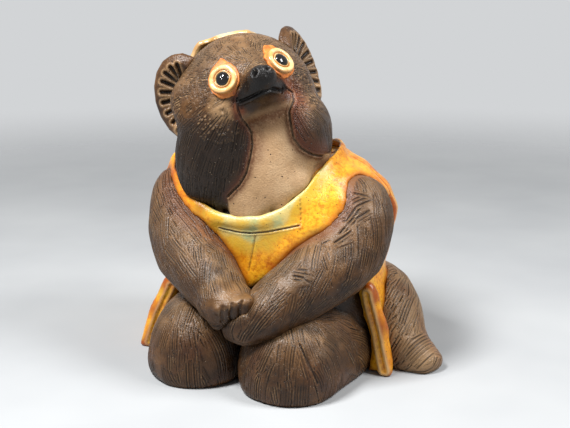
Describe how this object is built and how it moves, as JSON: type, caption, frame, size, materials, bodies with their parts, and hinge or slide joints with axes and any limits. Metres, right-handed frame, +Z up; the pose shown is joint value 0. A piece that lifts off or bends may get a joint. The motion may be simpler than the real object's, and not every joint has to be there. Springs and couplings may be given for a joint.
{
  "type": "kneeling tanuki figurine",
  "caption": "Hand-built stoneware tanuki kneeling with hands clasped in its lap, head turned up, in a glazed sleeveless robe, with a bushy tail and a leaf on its head.",
  "frame": {"origin": "middle of the footprint's box, on the surface that the figure stands on", "axes": "+Z up; the figure's lap faces -Y; its left side is +X, where the head turns to"},
  "size_m": [0.2044, 0.1632, 0.2139],
  "materials": {
    "fur_clay": "matt iron-stained stoneware, combed into strokes of fur",
    "bare_clay": "matt unglazed stoneware",
    "black_slip": "burnished black slip, satin",
    "orange_clay": "matt orange clay",
    "amber_glaze": "glossy amber glaze that breaks orange-brown at the edges",
    "pale_glaze": "glossy glaze pooled pale green and cream",
    "leaf_glaze": "glossy yellow glaze",
    "cream_glaze": "glossy cream glaze",
    "black_glaze": "glossy black glaze"
  },
  "bodies": {
    "root": {"body": "bare_clay", "throat": "bare_clay", "skull": "fur_clay", "jowl_right": "fur_clay", "jowl_left": "fur_clay", "ear_left": "fur_clay", "ear_right": "fur_clay", "arm_left": "fur_clay", "arm_right": "fur_clay", "hand_left": "fur_clay", "hand_right": "fur_clay", "thigh_left": "fur_clay", "thigh_right": "fur_clay", "tail": "fur_clay", "snout": "black_slip", "jaw": "black_slip", "robe_back": "amber_glaze", "robe_front": "amber_glaze", "hem_flap_left": "amber_glaze", "hem_flap_right": "amber_glaze", "neckline": "pale_glaze", "leaf": "leaf_glaze", "eye_patch_left": "orange_clay", "eye_patch_right": "orange_clay", "eye_ring_left": "cream_glaze", "eye_ring_right": "cream_glaze", "eyeball_left": "cream_glaze", "eyeball_right": "cream_glaze", "pupil_left": "black_glaze", "pupil_right": "black_glaze"}
  },
  "joints": []
}
